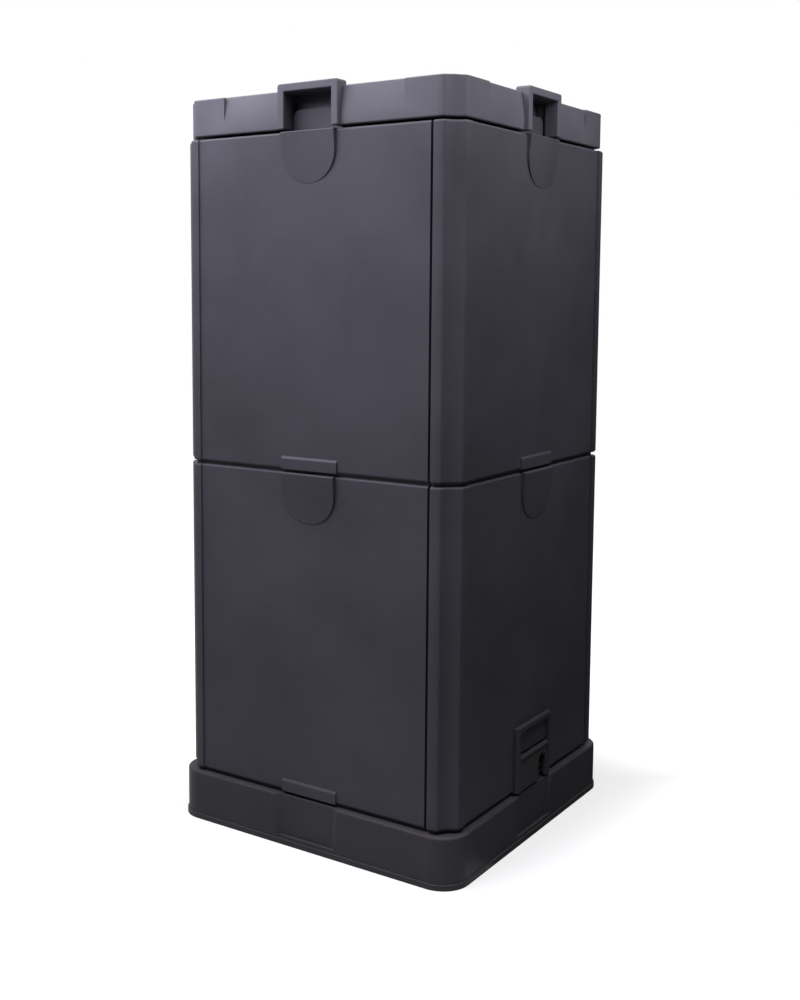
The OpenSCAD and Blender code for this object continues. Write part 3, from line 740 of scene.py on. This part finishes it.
# The foam cores
# Blocks of expanded polystyrene moulded to fill the panels and the lid; the beads are drawn at their
# real 4 mm.
def bead_foam(name, code, seam_code):
    """Expanded polystyrene: round beads pressed together, a little darker and lower where they meet."""
    material = bpy.data.materials.new(name)
    material.use_nodes = True
    tree = material.node_tree
    tree.nodes.clear()
    place = add_node(tree, "TexCoord")
    beads = add_node(
        tree, "TexVoronoi", {"feature": "DISTANCE_TO_EDGE"}, Vector=(place, "Object"), Scale=250.0
    )
    tone = add_node(tree, "ValToRGB", Fac=(beads, 0))
    tone.color_ramp.elements[0].position = 0.0
    tone.color_ramp.elements[0].color = linear(seam_code)
    tone.color_ramp.elements[1].position = 0.12
    tone.color_ramp.elements[1].color = linear(code)
    bump = add_node(tree, "Bump", Strength=0.6, Distance=0.3 * mm, Height=(beads, 0))
    foam = add_node(tree, "BsdfPrincipled", Base_Color=(tone, 0), Roughness=0.7, Normal=(bump, 0), IOR=1.5)
    add_node(tree, "OutputMaterial", Surface=(foam, 0))
    return material


foam = bead_foam("white_expanded_polystyrene_moulded", "e6e2d6", "c9c4b6")
cores = [f"{tier}_{side_name}_core" for tier in ("lower", "upper") for side_name in sides]
dress(foam, "lid_core", *cores)


# The liners and the corner keys
# Black polypropylene sheet snapped into the backs of the skins, and the extruded double dovetails that
# are slid down the corners to lock the panels together.
liner_plastic = moulded_plastic(
    "black_polypropylene_pressed_liner", "242325", "2f2d30", 0.52, 0.0009, 0.00008
)
liners = [f"{tier}_{side_name}_liner" for tier in ("lower", "upper") for side_name in sides]
dress(liner_plastic, "lower_corner_keys", "upper_corner_keys", *liners)


# The tap
# A drum tap of black polypropylene, its stem through the tray with a nut inside and a red rubber washer
# outside, and a lever that turns its plug.
def moulded_rubber(name, code, bloom_code, roughness):
    """Rubber: matt, with a pale dusty bloom in patches and a faint pressed grain drawn 2 mm coarse."""
    material = bpy.data.materials.new(name)
    material.use_nodes = True
    tree = material.node_tree
    tree.nodes.clear()
    place = add_node(tree, "TexCoord")
    bloom = add_node(tree, "TexNoise", Vector=(place, "Object"), Scale=60.0, Detail=5.0, Roughness=0.6)
    tone = add_node(tree, "ValToRGB", Fac=(bloom, 0))
    tone.color_ramp.elements[0].position = 0.4
    tone.color_ramp.elements[0].color = linear(code)
    tone.color_ramp.elements[1].position = 0.75
    tone.color_ramp.elements[1].color = linear(bloom_code)
    grit = add_node(tree, "TexNoise", Vector=(place, "Object"), Scale=500.0, Detail=2.0)
    bump = add_node(tree, "Bump", Strength=0.4, Distance=0.08 * mm, Height=(grit, 0))
    skin = add_node(
        tree, "BsdfPrincipled", Base_Color=(tone, 0), Roughness=roughness, Normal=(bump, 0), IOR=1.52
    )
    add_node(tree, "OutputMaterial", Surface=(skin, 0))
    return material


# The tap body is black polypropylene, drawn darker than the lever as painted shade, so that the hood's slot
# looks as dark as the shade in it.
tap_plastic_with_painted_shade = moulded_plastic("black_polypropylene_moulded_tap", "121213", "1a1a1b", 0.45, 0.0002, 0.00004)
lever_plastic = moulded_plastic("black_nylon_moulded_lever", "19191a", "212122", 0.45, 0.0002, 0.00004)
washer_rubber = moulded_rubber("red_nitrile_cut_washer", "5a1f1c", "6b3431", 0.75)
dress(tap_plastic_with_painted_shade, "tap_body", "tap_nut")
dress(lever_plastic, "tap_lever")
dress(washer_rubber, "tap_washer")


# The tap's hood
# A moulded frame fixed over the alcove: two rails with sloping outer edges, a plate and a lip that
# sheds rain; the hinge pin lies in its rails.
hood_low, hood_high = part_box("tap_hood")
hood_t = 3 * mm
hood_edge_r = 0.7 * mm
rail_w = 10 * mm
lip_h = 7 * mm
pin_r = 2 * mm
pin_grip = 0.025 * mm
pin_play = 0.05 * mm
barrel_r = 4.5 * mm
barrel_room = 3 * mm
hinge_x = (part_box("flap_pin")[0][0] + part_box("flap_pin")[1][0]) / 2
hinge_z = (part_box("flap_pin")[0][2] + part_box("flap_pin")[1][2]) / 2
rail_in = hood_high[1] - rail_w
rail_lap = rail_in + mm
bore_end = hood_high[1] - 2 * mm


def soften(piece, width, segments=2, angle=50):
    """Rounds every sharp edge a little, as the mould does."""
    only(piece)
    step = piece.modifiers.new("soften", "BEVEL")
    step.width = width
    step.segments = segments
    step.limit_method = "ANGLE"
    step.angle_limit = math.radians(angle)
    bpy.ops.object.modifier_apply(modifier=step.name)


hood = add_box(
    "tap_hood_moulding",
    (hood_low[0], -rail_lap, hinge_z + barrel_r + barrel_room),
    (hood_low[0] + hood_t, rail_lap, hood_high[2]),
)
lip_low = (hood_low[0], -rail_lap, hood_high[2] - lip_h)
join(hood, add_box("lip", lip_low, (hood_high[0], rail_lap, hood_high[2])))
for sign in (-1, 1):
    near_y, far_y = sorted((sign * rail_in, sign * hood_high[1]))
    rail = add_box("rail", (hood_low[0], near_y, hood_low[2]), (hood_high[0], far_y, hood_high[2]))
    slope = (hood_high[0] - hood_low[0]) / 2
    round_edges(
        rail,
        lambda a, b, sides: upright(a, b, sides) and near(a.x, hood_high[0]) and near(abs(a.y), hood_high[1]),
        slope,
        1,
    )
    join(hood, rail)
soften(hood, hood_edge_r, 2, 30)
bore_ends = ((hinge_x, -bore_end, hinge_z), (hinge_x, bore_end, hinge_z))
combine(hood, add_rod("bore", *bore_ends, pin_r + pin_grip), "DIFFERENCE")
fit(hood, skirt_plastic, "root", "tray_plastic", "tap_hood")


# The tap's flap
# A flat moulded flap with a round barrel along its top that hangs on the pin; its slot, round at the
# top, clears the spout.
flap_low, flap_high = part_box("tap_flap")
flap_half_t = 2.5 * mm
flap_x = hinge_x - flap_half_t
flap_edge_r = 0.7 * mm
slot_r = 13 * mm
slot_y = 30 * mm
slot_h = 46 * mm
slot_z = base_h + slot_h - slot_r
slot_x = (flap_x - 5 * mm, flap_x + 15 * mm)

flap = add_box("tap_flap_moulding", (flap_x, *flap_low[1:]), (hinge_x + flap_half_t, flap_high[1], hinge_z))
join(flap, add_rod("barrel", (hinge_x, flap_low[1], hinge_z), (hinge_x, flap_high[1], hinge_z), barrel_r))
slot = add_rod("slot", (slot_x[0], slot_y, slot_z), (slot_x[1], slot_y, slot_z), slot_r, 64)
slot_foot = (slot_x[0], slot_y - slot_r, base_h)
join(slot, add_box("slot_foot", slot_foot, (slot_x[1], slot_y + slot_r, slot_z)))
combine(flap, slot, "DIFFERENCE")
soften(flap, flap_edge_r, 2)
combine(flap, add_rod("bore", *bore_ends, pin_r + pin_play), "DIFFERENCE")
fit(flap, skirt_plastic, "flap", "tray_plastic", "tap_flap")


# The hinge pin
# A length of drawn stainless wire held in the hood's rails. Drawing leaves fine streaks along it and
# an uneven shine; they are drawn 1 mm wide so that they show.
steel = bpy.data.materials.new("stainless_steel_drawn_pin")
steel.use_nodes = True
tree = steel.node_tree
tree.nodes.clear()
place = add_node(tree, "TexCoord")
along = add_node(tree, "Mapping", Vector=(place, "Object"), Scale=(900, 12, 900))
drawn = add_node(tree, "TexNoise", Vector=(along, 0), Scale=1.0, Detail=3.0)
dull = add_node(tree, "MapRange", _0=(drawn, 0), _3=0.22, _4=0.42)
tone = add_node(tree, "ValToRGB", Fac=(drawn, 0))
tone.color_ramp.elements[0].color = linear("9c9fa3")
tone.color_ramp.elements[1].color = linear("c3c5c8")
bump = add_node(tree, "Bump", Strength=0.3, Distance=0.02 * mm, Height=(drawn, 0))
metal = add_node(
    tree, "BsdfPrincipled", Base_Color=(tone, 0), Metallic=1.0, Roughness=(dull, 0), Normal=(bump, 0)
)
add_node(tree, "OutputMaterial", Surface=(metal, 0))
dress(steel, "flap_pin")


# The lid shell
# One hollow injection moulding: its top rises to a flat middle, a cove runs down each corner, and the
# middle of each side leans in. Each side has a pocket for the tongue below it and a seat for a handle.
lid_plastic = moulded_plastic(
    "recycled_polypropylene_moulded_lid", "45444a", "504e54", 0.45, 0.0010, 0.00012
)
lid_low, lid_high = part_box("lid_shell")
handle_low, handle_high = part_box("front_handle")
lid_half = lid_high[0]
lid_z = lid_low[2]
lid_top_z = lid_high[2]
lid_r = 36 * mm
lid_steps = 13
lid_t = 3.5 * mm
lid_edge_r = 2 * mm
lid_rim_r = 2.8 * mm
crown_h = 8 * mm
crown_run = 120 * mm
lean_half = 167 * mm
lean_z = lid_z + 20 * mm
lean_d = 7 * mm
lean_angle = math.atan(lean_d / (lid_top_z - lean_z))
pocket_half = 48 * mm
pocket_y = half - 37 * mm
pocket_z = lid_top_z - crown_h - lid_t
seat_gap = 0.3 * mm


def add_lid_block(name, inset, z0, z1):
    """A slice of the lid's outer form, with a cove down each rounded corner."""
    block = add_square(name, lid_half - inset, z0, z1)
    round_edges(block, upright, lid_r - inset, lid_steps)
    for side in range(4):
        hollow_corner(block, lid_half, lid_r, inset, side)
    if inset == 0:
        round_edges(block, arris, arris_r)
    return block


def add_lid_form(name, inset, z0):
    """A rounded block whose top slopes up to a flat middle; inset moves its walls and its top in."""
    top = lid_top_z - inset
    form = add_lid_block(name, inset, z0, top)
    for side in range(4):
        slab = add_box("slab", (-half, -30 * mm, 0), (half, crown_run + 30 * mm, 60 * mm))
        tip(slab, math.atan(crown_h / crown_run), (0, -lid_half, top - crown_h))
        combine(form, turn(slab, side), "DIFFERENCE")
    return form


def add_lean():
    """The wedge that is cut from a side so that its middle leans in."""
    wedge = add_box("wedge", (-lean_half, -60 * mm, 0), (lean_half, 0, 96 * mm))
    return tip(wedge, -lean_angle, (0, -lid_half, lean_z))


def add_lean_wall():
    """The part of the hollow that is left solid behind the wedge."""
    return add_box(
        "lean_wall",
        (-lean_half - lid_t, -lid_half - mm, lid_z - 2 * mm),
        (lean_half + lid_t, -lid_half + lean_d + lid_t, lid_top_z),
    )


def add_pocket(grow):
    """The room for a tongue, open below and at the side."""
    return add_box(
        "pocket",
        (-pocket_half - grow, handle_low[1] - mm, lid_z - 2 * mm),
        (pocket_half + grow, -pocket_y + grow, pocket_z + grow),
    )


def add_seat(grow):
    """The place that a handle frame is glued into."""
    return add_box(
        "seat",
        (-handle_high[0] - grow, handle_low[1] - mm, lid_z - 2 * mm),
        (handle_high[0] + grow, handle_high[1] + grow, handle_high[2] + mm),
    )


lid = add_lid_form("lid_shell_moulding", 0, lid_z)
for side in range(4):
    combine(lid, turn(add_lean(), side), "DIFFERENCE")
round_edges(lid, lambda a, b, sides: sharp(a, b, sides) and min(a.z, b.z) > pocket_z, lid_edge_r, 4)
round_edges(lid, lambda a, b, sides: sharp(a, b, sides) and max(a.z, b.z) < lid_z + mm, lid_rim_r, 3)

hollow = add_lid_form("lid_hollow", lid_t, lid_z - mm)
for side in range(4):
    for solid in (add_lean_wall(), add_pocket(lid_t), add_seat(lid_t + seat_gap)):
        combine(hollow, turn(solid, side), "DIFFERENCE")
combine(lid, hollow, "DIFFERENCE")
for side in range(4):
    for solid in (add_pocket(0), add_seat(seat_gap)):
        combine(lid, turn(solid, side), "DIFFERENCE")
combine(lid, add_lid_block("rebate", lid_t, lid_z - mm, lid_z + skin_t), "DIFFERENCE")
pockets = [f"{side_name}_pocket" for side_name in sides]
fit(lid, lid_plastic, "lid", "lid_plastic", "lid_shell", *pockets)


# The lid's liner and seal
# A polypropylene tray that holds the foam in the lid and enters the tower, and an extruded rubber cord
# that the lid rests on.
seal_rubber = moulded_rubber("black_epdm_extruded_seal", "151515", "232323", 0.7)
dress(liner_plastic, "lid_liner")
dress(seal_rubber, "lid_seal")


# The lid's handles
# Four moulded frames, open below, glued into the lid's seats; the hand goes in under the top bar.
post_w = 12 * mm
bar_t = 12 * mm
handle_r = 4 * mm
handle_edge_r = 1.8 * mm

handle = add_box("handle_frame", handle_low, handle_high)
round_edges(
    handle,
    lambda a, b, sides: near(a.z, handle_high[2]) and near(b.z, handle_high[2]) and near(a.x, b.x),
    handle_r,
    5,
)
cut(
    handle,
    (handle_low[0] + post_w, handle_low[1] - mm, lid_z - mm),
    (handle_high[0] - post_w, handle_high[1] + mm, handle_high[2] - bar_t),
)
soften(handle, handle_edge_r, 3, 40)
for side, side_name in enumerate(sides):
    name = f"{side_name}_handle"
    fit(copy_of(handle, f"{name}_frame", side), lid_plastic, "lid", "lid_plastic", name)
bpy.data.objects.remove(handle)
